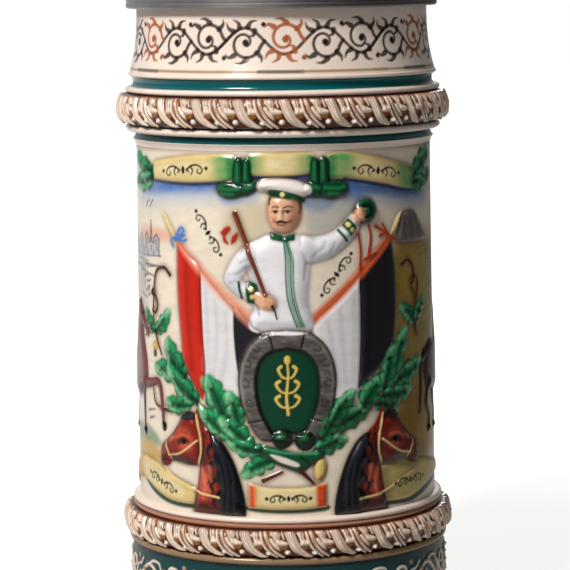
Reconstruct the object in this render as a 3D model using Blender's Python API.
"""Lidded beer stein: a glazed pottery vessel with a luted-on handle and a hinged pewter lid.

Metres, +Z up. The origin is the centre of the vessel's flat base. The picture side faces -Y, the handle +Y.
"""

import math

import bmesh
import bpy
from mathutils import Matrix, Vector
from mathutils.geometry import interpolate_bezier

# Vessel: heights of its turned zones, stacked from the base to the lip
FOOT_HEIGHT = 0.0060
DRUM_HEIGHT = 0.0157
GILT_BEAD_HEIGHT = 0.0021
LOWER_ROLL_HEIGHT = 0.0085
LOWER_BEAD_HEIGHT = 0.0028
PICTURE_HEIGHT = 0.0921
PICTURE_BEAD_HEIGHT = 0.0016
LOWER_BAND_HEIGHT = 0.0037
UNDER_BEAD_HEIGHT = 0.0025
UPPER_ROLL_HEIGHT = 0.0080
OVER_BEAD_HEIGHT = 0.0022
UPPER_BAND_HEIGHT = 0.0029
NECK_HEIGHT = 0.0201

# Vessel: the body's radius below the neck, and how far each zone stands out from it
BODY_RADIUS = 0.0393
BODY_FLARE = 0.0007
FOOT_RISE = 0.0048
DRUM_RISE = 0.0031
ROLL_SEAT_RISE = 0.0027
ROLL_BULGE = 0.0024
BAND_RISE = 0.0014
BEAD_BULGE = 0.0006
NECK_INSET = 0.0007
WALL_THICKNESS = 0.0040
FLOOR_THICKNESS = 0.0080
FLOOR_FILLET = 0.0060
FOOT_CHAMFER = 0.0012

# Relief: the picture's main raised figures. Their points go round each one in thousandths of the picture's
# height, across from the middle and up from the foot; the horseshoe and the horse are given for the left side.
RELIEF_RISE = 0.0010
RELIEF_SINK = 0.0012
RELIEF_UNIT = 1000
TROOPER = [(-93, 524), (76, 524), (63, 596), (69, 689), (135, 713), (204, 770), (224, 809), (269, 820), (271, 852)]
TROOPER += [(239, 872), (200, 839), (130, 780), (52, 772), (48, 855), (74, 896), (35, 926), (-50, 928), (-74, 904)]
TROOPER += [(-48, 863), (-39, 792), (-41, 774), (-104, 750), (-169, 672), (-169, 642), (-122, 600), (-93, 581)]
HORSESHOE_OUTSIDE = [(0, 511), (-58, 502), (-100, 473), (-126, 429), (-137, 374), (-130, 314), (-111, 257)]
HORSESHOE_OUTSIDE += [(-75, 201)]
HORSESHOE_INSIDE = [(-47, 218), (-78, 281), (-89, 336), (-88, 383), (-75, 422), (-48, 450), (0, 460)]
HORSE = [(-417, 121), (-417, 164), (-363, 203), (-326, 249), (-271, 273), (-221, 214), (-180, 183), (-145, 118)]
HORSE += [(-124, 38), (-119, 12), (-276, 12), (-267, 75), (-263, 125), (-326, 129), (-369, 131), (-404, 112)]

# Handle: an ear-shaped loop of oval section
HANDLE_TOP_DROP = 0.0170
HANDLE_SPAN = 0.0930
HANDLE_REACH = 0.0405
HANDLE_WIDTH = 0.0150
HANDLE_THICKNESS = 0.0112
HANDLE_END_SHARE = 0.82
HANDLE_CROWN_SHARE = 0.36
HANDLE_RISE_SHARE = 0.10
HANDLE_UPPER_PULL = 0.70
HANDLE_LOWER_PULL = 0.55
HANDLE_DROP_PULL = 0.34
HANDLE_STEPS = 22
HANDLE_SIDES = 16

# Hinge: five knuckles, three on the handle strap and two on the lid shank
HINGE_SETBACK = 0.0071
HINGE_DROP = 0.0026
KNUCKLE_RADIUS = 0.0046
KNUCKLE_WIDTH = 0.0036
KNUCKLE_GAP = 0.0003
KNUCKLE_SIDES = 24
STRAP_KNUCKLES = 3
PIN_RADIUS = 0.0016
PIN_CLEARANCE = 0.00015
CAP_THICKNESS = 0.0015
CAP_DOME = 0.0008

# Handle strap: the pewter collar cast round the handle, and the post that carries the hinge
COLLAR_LENGTH = 0.0090
COLLAR_WALL = 0.0020
POST_DEPTH = 0.0070

# Lid: a turned rim that drops over the lip, and a hollow dome soldered on it
LID_OVERLAP = 0.0031
SKIRT_CLEARANCE = 0.0005
SKIRT_WALL = 0.0023
RIM_FLANGE_THICKNESS = 0.0018
RIM_FLANGE_WIDTH = 0.0059
RIM_EDGE_ROUND = 0.0007
DOME_SHOULDER = 0.0032
DOME_LIP_HEIGHT = 0.0016
DOME_STEP = 0.0034
DOME_HEIGHT = 0.0185
DOME_SEAT_RADIUS = 0.0085
DOME_WALL = 0.0018
DOME_FOOT_PULL = 0.95
DOME_RISE_PULL = 0.75
DOME_CROWN_PULL = 0.62

# Shank and thumblift
SHANK_WIDTH = 0.0150
SHANK_TIP_WIDTH = 0.0100
SHANK_THICKNESS = 0.0034
SHANK_TIP_RADIUS = 0.0230
THUMBLIFT_HEIGHT = 0.0300
THUMBLIFT_LEAN = 0.0100
THUMBLIFT_STEM_WIDTH = 0.0070
THUMBLIFT_FAN_WIDTH = 0.0185
THUMBLIFT_THICKNESS = 0.0034
THUMBLIFT_STEM_SHARE = 0.35
THUMBLIFT_TIP_TURN = 0.86
THUMBLIFT_PULL = 0.50
THUMBLIFT_TIP_PULL = 0.20
THUMBLIFT_STEPS = 10
THUMBLIFT_SIDES = 16

# Finial: a turned socle and a knob on a threaded stud, with a nut inside the dome
SOCLE_HEIGHT = 0.0070
SOCLE_RADIUS = 0.0078
SOCLE_WAIST = 0.0042
SOCLE_WAIST_PULL = 1.4
KNOB_HEIGHT = 0.0235
KNOB_RADIUS = 0.0074
KNOB_NECK = 0.0046
KNOB_BELLY_SHARE = 0.42
KNOB_FOOT_PULL = 0.12
KNOB_BUD_PULL = 0.30
STUD_RADIUS = 0.0018
STUD_CLEARANCE = 0.0003
STUD_DEPTH = 0.0090
NUT_HEIGHT = 0.0030
NUT_RADIUS = 0.0042
NUT_WASHER_GAP = 0.0003

# Seams, cutters and faceting
SEAM = 0.0003
CUTTER_MARGIN = 0.0020
TURNED_SIDES = 48
SMALL_SIDES = 24
DOME_STEPS = 9
ARC_STEPS = 4
SMOOTH_ANGLE = math.radians(35)
MERGE = 1e-6

# Places that follow from the sizes above
DRUM_BOTTOM = FOOT_HEIGHT
GILT_BEAD_BOTTOM = DRUM_BOTTOM + DRUM_HEIGHT
LOWER_ROLL_BOTTOM = GILT_BEAD_BOTTOM + GILT_BEAD_HEIGHT
LOWER_BEAD_BOTTOM = LOWER_ROLL_BOTTOM + LOWER_ROLL_HEIGHT
PICTURE_BOTTOM = LOWER_BEAD_BOTTOM + LOWER_BEAD_HEIGHT
PICTURE_TOP = PICTURE_BOTTOM + PICTURE_HEIGHT
LOWER_BAND_BOTTOM = PICTURE_TOP + PICTURE_BEAD_HEIGHT
UNDER_BEAD_BOTTOM = LOWER_BAND_BOTTOM + LOWER_BAND_HEIGHT
UPPER_ROLL_BOTTOM = UNDER_BEAD_BOTTOM + UNDER_BEAD_HEIGHT
OVER_BEAD_BOTTOM = UPPER_ROLL_BOTTOM + UPPER_ROLL_HEIGHT
UPPER_BAND_BOTTOM = OVER_BEAD_BOTTOM + OVER_BEAD_HEIGHT
NECK_BOTTOM = UPPER_BAND_BOTTOM + UPPER_BAND_HEIGHT
LIP = NECK_BOTTOM + NECK_HEIGHT

NECK_RADIUS = BODY_RADIUS - NECK_INSET
BORE_RADIUS = NECK_RADIUS - WALL_THICKNESS
SKIRT_INNER_RADIUS = NECK_RADIUS + SKIRT_CLEARANCE
LID_RADIUS = SKIRT_INNER_RADIUS + SKIRT_WALL
RIM_BOTTOM = LIP - LID_OVERLAP
RIM_TOP = LIP + SEAM + RIM_FLANGE_THICKNESS
DOME_RADIUS = LID_RADIUS - DOME_SHOULDER
DOME_BOTTOM = RIM_TOP + SEAM
DOME_TOP = DOME_BOTTOM + DOME_HEIGHT
DOME_FOOT_RADIUS = DOME_RADIUS - DOME_STEP
SHANK_BOTTOM = RIM_TOP + SEAM
THUMBLIFT_BOTTOM = SHANK_BOTTOM + SHANK_THICKNESS + SEAM
THUMBLIFT_Y = DOME_FOOT_RADIUS + SHANK_THICKNESS + 3 * SEAM + THUMBLIFT_THICKNESS / 2
HINGE_Y = LID_RADIUS + HINGE_SETBACK
HINGE_Z = LIP - HINGE_DROP
KNUCKLES = 2 * STRAP_KNUCKLES - 1
KNUCKLE_PITCH = KNUCKLE_WIDTH + KNUCKLE_GAP
BARREL_WIDTH = KNUCKLES * KNUCKLE_PITCH - KNUCKLE_GAP
SOCLE_BOTTOM = DOME_TOP + SEAM
KNOB_BOTTOM = SOCLE_BOTTOM + SOCLE_HEIGHT + SEAM
STUD_HOLE = STUD_RADIUS + STUD_CLEARANCE
NUT_TOP = DOME_TOP - DOME_WALL - NUT_WASHER_GAP


def clear_scene():
    for obj in list(bpy.data.objects):
        bpy.data.objects.remove(obj)


def finish(name, colour, roughness, metallic):
    """A plain material of the part's own colour."""
    material = bpy.data.materials.new(name)
    material.use_nodes = True
    shader = material.node_tree.nodes["Principled BSDF"]
    shader.inputs["Base Color"].default_value = (*colour, 1.0)
    shader.inputs["Roughness"].default_value = roughness
    shader.inputs["Metallic"].default_value = metallic
    return material


def node(name, bm, material, origin=(0, 0, 0)):
    """A named object from a world-space bmesh, with its own origin, smooth up to its sharp edges."""
    bmesh.ops.recalc_face_normals(bm, faces=bm.faces)
    bmesh.ops.translate(bm, verts=bm.verts, vec=-Vector(origin))
    mesh = bpy.data.meshes.new(name)
    bm.to_mesh(mesh)
    bm.free()
    mesh.shade_smooth()
    mesh.set_sharp_from_angle(angle=SMOOTH_ANGLE)
    if material:
        mesh.materials.append(material)
    obj = bpy.data.objects.new(name, mesh)
    obj.location = origin
    bpy.context.scene.collection.objects.link(obj)
    return obj


def helper(name, bm):
    """A cutter, or a shape that is joined to another: it shows as wire and isn't a part."""
    obj = node(name, bm, None)
    obj.hide_render = True
    obj.display_type = "WIRE"
    return obj


def boolean(obj, other, operation):
    modifier = obj.modifiers.new(f"{operation.lower()}_{other.name}", "BOOLEAN")
    modifier.operation = operation
    modifier.object = other
    modifier.solver = "EXACT"


def arc(centre, radii, start, end, steps=ARC_STEPS):
    """Points (r, z) on an elliptical arc, angles in degrees from +r towards +z."""
    turns = [math.radians(start + (end - start) * i / steps) for i in range(steps + 1)]
    return [(centre[0] + radii[0] * math.cos(t), centre[1] + radii[1] * math.sin(t)) for t in turns]


def bulge(radius, rise, bottom, height):
    """A rounded moulding: half an ellipse that stands out from a radius over a height, from the bottom up."""
    middle = bottom + height / 2
    return arc((radius, middle), (rise, height / 2), -90, 90)


def bezier(knots, steps):
    """Points on one cubic curve: start, its handle, the end's handle, end."""
    start, leave, arrive, end = (Vector((a, b, 0)) for a, b in knots)
    return [(p.x, p.y) for p in interpolate_bezier(start, leave, arrive, end, steps)]


def turned(outline, sides=TURNED_SIDES):
    """A bmesh turned about Z from an outline of (r, z) points. It closes on the axis, or else on itself."""
    bm = bmesh.new()
    verts = [bm.verts.new((r, 0, z)) for r, z in outline]
    edges = [bm.edges.new(pair) for pair in zip(verts, verts[1:])]
    if max(outline[0][0], outline[-1][0]) > MERGE:
        edges.append(bm.edges.new((verts[-1], verts[0])))
    bmesh.ops.spin(
        bm, geom=verts + edges, cent=(0, 0, 0), axis=(0, 0, 1), angle=math.tau, steps=sides, use_merge=True
    )
    bmesh.ops.remove_doubles(bm, verts=bm.verts, dist=MERGE)
    return bm


def cylinder(radius, length, centre, axis="Z", sides=SMALL_SIDES):
    bm = bmesh.new()
    turn = Matrix.Rotation(math.pi / 2, 4, "Y") if axis == "X" else Matrix.Identity(4)
    place = Matrix.Translation(centre) @ turn
    bmesh.ops.create_cone(
        bm, cap_ends=True, segments=sides, radius1=radius, radius2=radius, depth=length, matrix=place
    )
    return bm


def block(size, centre):
    bm = bmesh.new()
    place = Matrix.Translation(centre) @ Matrix.Diagonal((*size, 1))
    bmesh.ops.create_cube(bm, size=1, matrix=place)
    return bm


def swept(path, sections, sides):
    """Carries oval sections, each (width in X, thickness), along a path of (y, z) points."""
    frames = []
    for i, (y, z) in enumerate(path):
        before, after = path[max(i - 1, 0)], path[min(i + 1, len(path) - 1)]
        lean = math.atan2(after[1] - before[1], after[0] - before[0])
        width, thickness = sections[i]
        place = Matrix.Translation((0, y, z)) @ Matrix.Rotation(lean - math.pi / 2, 4, "X")
        frames.append(place @ Matrix.Diagonal((width / 2, thickness / 2, 1, 1)))
    bm = bmesh.new()
    bmesh.ops.create_circle(bm, cap_ends=False, segments=sides, radius=1, matrix=frames[0])
    ring = bm.edges[:]
    for last, frame in zip(frames, frames[1:]):
        made = bmesh.ops.extrude_edge_only(bm, edges=ring)["geom"]
        ring = [g for g in made if isinstance(g, bmesh.types.BMEdge)]
        moved = [g for g in made if isinstance(g, bmesh.types.BMVert)]
        bmesh.ops.transform(bm, matrix=frame @ last.inverted(), verts=moved)
    bmesh.ops.holes_fill(bm, edges=bm.edges)
    return bm


def vessel_wall(offset=0.0):
    """The vessel's outer side as (r, z) points from the base to the lip, moved out by an offset."""
    drum = BODY_RADIUS + DRUM_RISE
    foot = BODY_RADIUS + FOOT_RISE
    seat = BODY_RADIUS + ROLL_SEAT_RISE
    band = BODY_RADIUS + BAND_RISE
    points = [(foot - FOOT_CHAMFER, 0), (foot, FOOT_CHAMFER), (foot, FOOT_HEIGHT / 2), (drum, DRUM_BOTTOM)]
    points += bulge(drum, BEAD_BULGE, GILT_BEAD_BOTTOM, GILT_BEAD_HEIGHT)
    points += bulge(seat, ROLL_BULGE, LOWER_ROLL_BOTTOM, LOWER_ROLL_HEIGHT)
    points += bulge(band, BEAD_BULGE, LOWER_BEAD_BOTTOM, LOWER_BEAD_HEIGHT)
    points += [(BODY_RADIUS + BODY_FLARE, PICTURE_BOTTOM), (BODY_RADIUS, PICTURE_TOP)]
    points += bulge(BODY_RADIUS, BEAD_BULGE, PICTURE_TOP, PICTURE_BEAD_HEIGHT)[1:]
    points += [(band, LOWER_BAND_BOTTOM), (band, UNDER_BEAD_BOTTOM)]
    points += bulge(band, 2 * BEAD_BULGE, UNDER_BEAD_BOTTOM, UNDER_BEAD_HEIGHT)[1:]
    points += bulge(seat, ROLL_BULGE, UPPER_ROLL_BOTTOM, UPPER_ROLL_HEIGHT)
    points += bulge(seat - BEAD_BULGE, BEAD_BULGE, OVER_BEAD_BOTTOM, OVER_BEAD_HEIGHT)
    points += [(band, UPPER_BAND_BOTTOM)]
    flare = NECK_BOTTOM + NECK_HEIGHT / 4
    points += bezier([(band, NECK_BOTTOM), (NECK_RADIUS, flare), (NECK_RADIUS, flare), (NECK_RADIUS, LIP)], 6)
    return [(r + offset, z) for r, z in points]


def raised(outline):
    """A figure that stands out from the picture wall, bent round it in the wall's own flats."""
    bm = bmesh.new()
    unit = PICTURE_HEIGHT / RELIEF_UNIT
    bm.faces.new([bm.verts.new((across * unit, up * unit, 0)) for across, up in outline])
    turn = math.tau / TURNED_SIDES
    flat = turn * BODY_RADIUS
    for i in range(-TURNED_SIDES // 4, TURNED_SIDES // 4 + 1):
        geom = bm.verts[:] + bm.edges[:] + bm.faces[:]
        bmesh.ops.bisect_plane(bm, geom=geom, dist=MERGE, plane_co=(i * flat, 0, 0), plane_no=(1, 0, 0))
    made = bmesh.ops.extrude_face_region(bm, geom=bm.faces[:])["geom"]
    front = {g for g in made if isinstance(g, bmesh.types.BMVert)}
    for vert in bm.verts:
        up = vert.co.y
        radius = BODY_RADIUS + BODY_FLARE * (1 - up / PICTURE_HEIGHT)
        radius += RELIEF_RISE if vert in front else -RELIEF_SINK
        left = math.floor(vert.co.x / flat)
        corners = [Vector((math.sin(i * turn), -math.cos(i * turn), 0)) for i in (left, left + 1)]
        out = corners[0].lerp(corners[1], vert.co.x / flat - left)
        vert.co = out * radius + Vector((0, 0, PICTURE_BOTTOM + up))
    return bm


def other_side(points):
    """The same points mirrored to the picture's right side, so that a loop runs on without a jump."""
    return [(-across, up) for across, up in reversed(points)]


def vessel():
    """The pottery pot: mouldings outside, a straight bore inside, a rounded lip and a flat base."""
    lip_round = (NECK_RADIUS - BORE_RADIUS) / 2
    outline = [(0, 0)] + vessel_wall()[:-1]
    outline += arc((NECK_RADIUS - lip_round, LIP - lip_round), (lip_round, lip_round), 0, 180, 2 * ARC_STEPS)
    fillet = (BORE_RADIUS - FLOOR_FILLET, FLOOR_THICKNESS + FLOOR_FILLET)
    outline += arc(fillet, (FLOOR_FILLET, FLOOR_FILLET), 0, -90)
    outline += [(0, FLOOR_THICKNESS)]
    obj = node("vessel", turned(outline), POTTERY)
    shoe = HORSESHOE_OUTSIDE + HORSESHOE_INSIDE
    shoe += other_side(HORSESHOE_INSIDE)[1:] + other_side(HORSESHOE_OUTSIDE)[:-1]
    figures = {"trooper": TROOPER, "horseshoe": shoe, "left_horse": HORSE, "right_horse": other_side(HORSE)}
    for name, points in figures.items():
        boolean(obj, helper(f"{name}_relief", raised(points)), "UNION")
    return obj


def handle_path():
    """The handle's centre line as (y, z) points, from its upper root to its lower one, both in the wall."""
    root = BODY_RADIUS - WALL_THICKNESS / 2
    top = LIP - HANDLE_TOP_DROP
    low = top - HANDLE_SPAN
    out = BODY_RADIUS + HANDLE_REACH
    crown = top - HANDLE_CROWN_SHARE * HANDLE_SPAN
    rise = top + HANDLE_RISE_SHARE * HANDLE_SPAN
    half = HANDLE_STEPS // 2
    leave = (root + HANDLE_UPPER_PULL * HANDLE_REACH, rise)
    upper = bezier([(root, top), leave, (out, top), (out, crown)], half)
    drop = (out, crown - HANDLE_DROP_PULL * HANDLE_SPAN)
    arrive = (root + HANDLE_LOWER_PULL * HANDLE_REACH, low)
    lower = bezier([(out, crown), drop, arrive, (root, low)], half)
    return upper + lower[1:]


def handle_sections(path, growth=0.0):
    """The oval at each point of a path: it thins evenly towards the lower root."""
    shares = [1 - (1 - HANDLE_END_SHARE) * i / (len(path) - 1) for i in range(len(path))]
    return [(HANDLE_WIDTH * s + 2 * growth, HANDLE_THICKNESS * s + 2 * growth) for s in shares]


def handle():
    """The pottery handle: moulded by itself and luted to the wall, so its roots follow the wall's round."""
    path = handle_path()
    obj = node("handle", swept(path, handle_sections(path), HANDLE_SIDES), POTTERY)
    outline = [(0, 0)] + vessel_wall(SEAM) + [(0, LIP)]
    boolean(obj, helper("wall_cutter", turned(outline)), "DIFFERENCE")
    return obj


def knuckle_middles(first):
    """X positions of every second knuckle, counted from the left end of the barrel."""
    left = -(BARREL_WIDTH - KNUCKLE_WIDTH) / 2
    return [left + i * KNUCKLE_PITCH for i in range(first, KNUCKLES, 2)]


def cut_knuckles(obj, first, name):
    """Frees the barrel for the other leaf's knuckles and bores it for the pin."""
    for i, x in enumerate(knuckle_middles(first)):
        width = KNUCKLE_WIDTH + 2 * KNUCKLE_GAP
        slot = cylinder(KNUCKLE_RADIUS + KNUCKLE_GAP, width, (x, HINGE_Y, HINGE_Z), "X", KNUCKLE_SIDES)
        boolean(obj, helper(f"{name}_slot_{i + 1}", slot), "DIFFERENCE")
    bore = cylinder(PIN_RADIUS + PIN_CLEARANCE, 2 * BARREL_WIDTH, (0, HINGE_Y, HINGE_Z), "X")
    boolean(obj, helper(f"{name}_bore", bore), "DIFFERENCE")


def barrel():
    return cylinder(KNUCKLE_RADIUS, BARREL_WIDTH, (0, HINGE_Y, HINGE_Z), "X", KNUCKLE_SIDES)


def handle_strap():
    """The pewter mount: a collar round the handle's arm, a post, and the hinge's three fixed knuckles."""
    path = handle_path()
    past = next(i for i in range(1, len(path)) if path[i][0] >= HINGE_Y)
    before, after = Vector(path[past - 1]), Vector(path[past])
    middle = before.lerp(after, (HINGE_Y - before.x) / (after.x - before.x))
    ahead = (after - before).normalized()
    section = handle_sections(path)[past]
    ends = [middle - ahead * COLLAR_LENGTH / 2, middle + ahead * COLLAR_LENGTH / 2]
    outer = [(section[0] + 2 * COLLAR_WALL, section[1] + 2 * COLLAR_WALL)] * 2
    obj = node("handle_strap", swept([tuple(p) for p in ends], outer, HANDLE_SIDES), PEWTER)
    post = block((BARREL_WIDTH, POST_DEPTH, HINGE_Z - middle.y), (0, HINGE_Y, (HINGE_Z + middle.y) / 2))
    boolean(obj, helper("strap_post", post), "UNION")
    boolean(obj, helper("strap_barrel", barrel()), "UNION")
    cut_knuckles(obj, 1, "strap")
    arm = swept(path, handle_sections(path, SEAM), HANDLE_SIDES)
    boolean(obj, helper("handle_cutter", arm), "DIFFERENCE")
    return obj


def hinge_pin():
    """The plain pin through all five knuckles, held between the end caps."""
    return node("hinge_pin", cylinder(PIN_RADIUS, BARREL_WIDTH, (0, HINGE_Y, HINGE_Z), "X"), STEEL)


def hinge_cap(name, side):
    """A domed disc soldered over one end of the barrel."""
    inner = BARREL_WIDTH / 2 + SEAM
    outline = [(0, 0), (KNUCKLE_RADIUS, 0), (KNUCKLE_RADIUS, CAP_THICKNESS - CAP_DOME)]
    outline += arc((0, CAP_THICKNESS - CAP_DOME), (KNUCKLE_RADIUS, CAP_DOME), 0, 90)[1:]
    bm = turned(outline, KNUCKLE_SIDES)
    turn = Matrix.Rotation(side * math.pi / 2, 4, "Y")
    place = Matrix.Translation((side * inner, HINGE_Y, HINGE_Z))
    bmesh.ops.transform(bm, matrix=place @ turn, verts=bm.verts)
    return node(name, bm, PEWTER)


def lid_rim():
    """The lid's turned ring: a skirt that drops over the lip and a flange that rests on it."""
    inner = LID_RADIUS - RIM_FLANGE_WIDTH
    outline = [(SKIRT_INNER_RADIUS, RIM_BOTTOM), (LID_RADIUS, RIM_BOTTOM)]
    edge = (LID_RADIUS - RIM_EDGE_ROUND, RIM_TOP - RIM_EDGE_ROUND)
    outline += arc(edge, (RIM_EDGE_ROUND, RIM_EDGE_ROUND), 0, 90, 3)
    outline += [(inner, RIM_TOP), (inner, RIM_TOP - RIM_FLANGE_THICKNESS)]
    outline += [(SKIRT_INNER_RADIUS, RIM_TOP - RIM_FLANGE_THICKNESS)]
    return node("lid_rim", turned(outline), PEWTER, HINGE_ORIGIN)


def dome_side():
    """The dome's swell as (r, z) points, from its foot on the lip ring to the flat seat of the finial."""
    lip = DOME_BOTTOM + DOME_LIP_HEIGHT
    shoulder = lip + DOME_RISE_PULL * (DOME_TOP - lip)
    knots = [(DOME_FOOT_RADIUS, lip), (DOME_FOOT_PULL * DOME_FOOT_RADIUS, shoulder)]
    knots += [(DOME_CROWN_PULL * DOME_FOOT_RADIUS, DOME_TOP), (DOME_SEAT_RADIUS, DOME_TOP)]
    return bezier(knots, DOME_STEPS)


def offset_curve(points, distance):
    """A copy of a rising (r, z) curve, moved outwards along its normals."""
    moved = []
    for i, point in enumerate(points):
        before, after = points[max(i - 1, 0)], points[min(i + 1, len(points) - 1)]
        along = Vector((after[0] - before[0], after[1] - before[1])).normalized()
        moved.append((point[0] + along.y * distance, point[1] - along.x * distance))
    return moved


def lid_dome():
    """The hollow pewter dome: a flat lip ring, a swelling side and a seat bored for the finial's stud."""
    inside = offset_curve(dome_side(), -DOME_WALL)
    outline = [(DOME_RADIUS, DOME_BOTTOM), (DOME_RADIUS, DOME_BOTTOM + DOME_LIP_HEIGHT)] + dome_side()
    outline += [(STUD_HOLE, DOME_TOP), (STUD_HOLE, DOME_TOP - DOME_WALL)]
    outline += inside[:0:-1] + [(DOME_FOOT_RADIUS - DOME_WALL, DOME_BOTTOM)]
    return node("lid_dome", turned(outline), PEWTER, HINGE_ORIGIN)


def lid_shank():
    """The lever soldered along the lid's back, with the hinge's two moving knuckles at its end."""
    ring_top = DOME_BOTTOM + DOME_LIP_HEIGHT + SEAM
    top = SHANK_BOTTOM + SHANK_THICKNESS
    climb = [p for p in dome_side() if p[0] >= SHANK_TIP_RADIUS]
    under = [(HINGE_Y, HINGE_Z), (HINGE_Y - KNUCKLE_RADIUS, HINGE_Z + SEAM)]
    under += [(LID_RADIUS + 2 * SEAM, SHANK_BOTTOM), (DOME_RADIUS + SEAM, SHANK_BOTTOM)]
    under += [(DOME_RADIUS + SEAM, ring_top)]
    under += [(DOME_FOOT_RADIUS + 2 * SEAM, ring_top)] + offset_curve(climb, 2 * SEAM)[1:]
    over = offset_curve(climb, 2 * SEAM + SHANK_THICKNESS)[:0:-1]
    over += [(THUMBLIFT_Y - THUMBLIFT_THICKNESS / 2, top), (HINGE_Y - PIN_RADIUS, top)]
    bm = bmesh.new()
    outline = [bm.verts.new((-SHANK_WIDTH / 2, y, z)) for y, z in under + over]
    side = bm.faces.new(outline)
    made = bmesh.ops.extrude_face_region(bm, geom=[side])["geom"]
    moved = [g for g in made if isinstance(g, bmesh.types.BMVert)]
    bmesh.ops.translate(bm, verts=moved, vec=(SHANK_WIDTH, 0, 0))
    for vert in bm.verts:
        share = (DOME_RADIUS - vert.co.y) / (DOME_RADIUS - SHANK_TIP_RADIUS)
        vert.co.x *= 1 - (1 - SHANK_TIP_WIDTH / SHANK_WIDTH) * min(max(share, 0.0), 1.0)
    obj = node("lid_shank", bm, PEWTER, HINGE_ORIGIN)
    boolean(obj, helper("shank_barrel", barrel()), "UNION")
    cut_knuckles(obj, 0, "shank")
    return obj


def thumblift():
    """The cast thumb lever: a stem on the shank that leans back over the hinge and opens into a fan."""
    start = (THUMBLIFT_Y, THUMBLIFT_BOTTOM)
    end = (start[0] + THUMBLIFT_LEAN, start[1] + THUMBLIFT_HEIGHT)
    pull = THUMBLIFT_PULL * THUMBLIFT_HEIGHT
    lean = [start, (start[0], start[1] + pull)]
    lean += [(end[0] - THUMBLIFT_TIP_PULL * THUMBLIFT_LEAN, end[1] - pull), end]
    path = bezier(lean, THUMBLIFT_STEPS)
    sections = []
    for i in range(len(path)):
        share = i / (len(path) - 1) - THUMBLIFT_STEM_SHARE
        opening = max(0.0, share / (1 - THUMBLIFT_STEM_SHARE))
        fan = math.sin(math.pi * min(opening, THUMBLIFT_TIP_TURN))
        width = THUMBLIFT_STEM_WIDTH + (THUMBLIFT_FAN_WIDTH - THUMBLIFT_STEM_WIDTH) * fan
        sections.append((width, THUMBLIFT_THICKNESS))
    return node("thumblift", swept(path, sections, THUMBLIFT_SIDES), PEWTER, HINGE_ORIGIN)


def finial_socle():
    """The finial's turned foot on the dome's seat, bored for the stud."""
    top = SOCLE_BOTTOM + SOCLE_HEIGHT
    third = SOCLE_HEIGHT / 3
    outline = [(STUD_HOLE, SOCLE_BOTTOM)]
    outline += bulge(SOCLE_RADIUS - third / 2, third / 2, SOCLE_BOTTOM, third)
    waist = [(SOCLE_RADIUS - third, SOCLE_BOTTOM + third)]
    waist += [(SOCLE_WAIST, SOCLE_BOTTOM + SOCLE_WAIST_PULL * third)]
    waist += [(SOCLE_WAIST, top - third), (KNOB_NECK, top)]
    outline += bezier(waist, ARC_STEPS)
    outline += [(STUD_HOLE, top)]
    return node("finial_socle", turned(outline, SMALL_SIDES), PEWTER, HINGE_ORIGIN)


def finial_knob():
    """The turned knob, with a blind hole for the stud."""
    top = KNOB_BOTTOM + KNOB_HEIGHT
    belly = KNOB_BOTTOM + KNOB_BELLY_SHARE * KNOB_HEIGHT
    outline = [(0, KNOB_BOTTOM + STUD_DEPTH), (STUD_HOLE, KNOB_BOTTOM + STUD_DEPTH), (STUD_HOLE, KNOB_BOTTOM)]
    swell = [(KNOB_NECK, KNOB_BOTTOM), (KNOB_RADIUS, KNOB_BOTTOM)]
    swell += [(KNOB_RADIUS, belly - KNOB_FOOT_PULL * KNOB_HEIGHT), (KNOB_RADIUS, belly)]
    bud = [(KNOB_RADIUS, belly), (KNOB_RADIUS, belly + KNOB_BUD_PULL * KNOB_HEIGHT)]
    bud += [(KNOB_BUD_PULL * KNOB_RADIUS, top), (0, top)]
    outline += bezier(swell, ARC_STEPS + 1) + bezier(bud, 2 * ARC_STEPS)[1:]
    return node("finial_knob", turned(outline, SMALL_SIDES), PEWTER, HINGE_ORIGIN)


def finial_stud():
    """The threaded stud that ties knob, socle and dome together."""
    bottom = NUT_TOP - NUT_HEIGHT
    top = KNOB_BOTTOM + STUD_DEPTH - SEAM
    bm = cylinder(STUD_RADIUS, top - bottom, (0, 0, (top + bottom) / 2))
    return node("finial_stud", bm, STEEL, HINGE_ORIGIN)


def finial_nut():
    """The six-sided nut under the dome's crown."""
    middle = (0, 0, NUT_TOP - NUT_HEIGHT / 2)
    obj = node("finial_nut", cylinder(NUT_RADIUS, NUT_HEIGHT, middle, sides=6), PEWTER, HINGE_ORIGIN)
    hole = cylinder(STUD_HOLE, NUT_HEIGHT + 2 * CUTTER_MARGIN, middle)
    boolean(obj, helper("nut_hole", hole), "DIFFERENCE")
    return obj


HINGE_ORIGIN = (0, HINGE_Y, HINGE_Z)

clear_scene()
POTTERY = finish("cream_glazed_pottery", (0.83, 0.76, 0.67), 0.18, 0.0)
PEWTER = finish("cast_pewter", (0.36, 0.36, 0.37), 0.38, 1.0)
STEEL = finish("drawn_steel", (0.45, 0.45, 0.46), 0.30, 1.0)

vessel()
handle()
handle_strap()
hinge_pin()
hinge_cap("hinge_cap_left", -1)
hinge_cap("hinge_cap_right", 1)

# The lid's pieces hang on one empty on the hinge axis, and turn about it together
lid_pivot = bpy.data.objects.new("lid_pivot", None)
lid_pivot.location = HINGE_ORIGIN
bpy.context.scene.collection.objects.link(lid_pivot)
bpy.context.view_layer.update()
for make in (lid_rim, lid_dome, lid_shank, thumblift, finial_socle, finial_knob, finial_stud, finial_nut):
    piece = make()
    piece.parent = lid_pivot
    piece.location = (0, 0, 0)
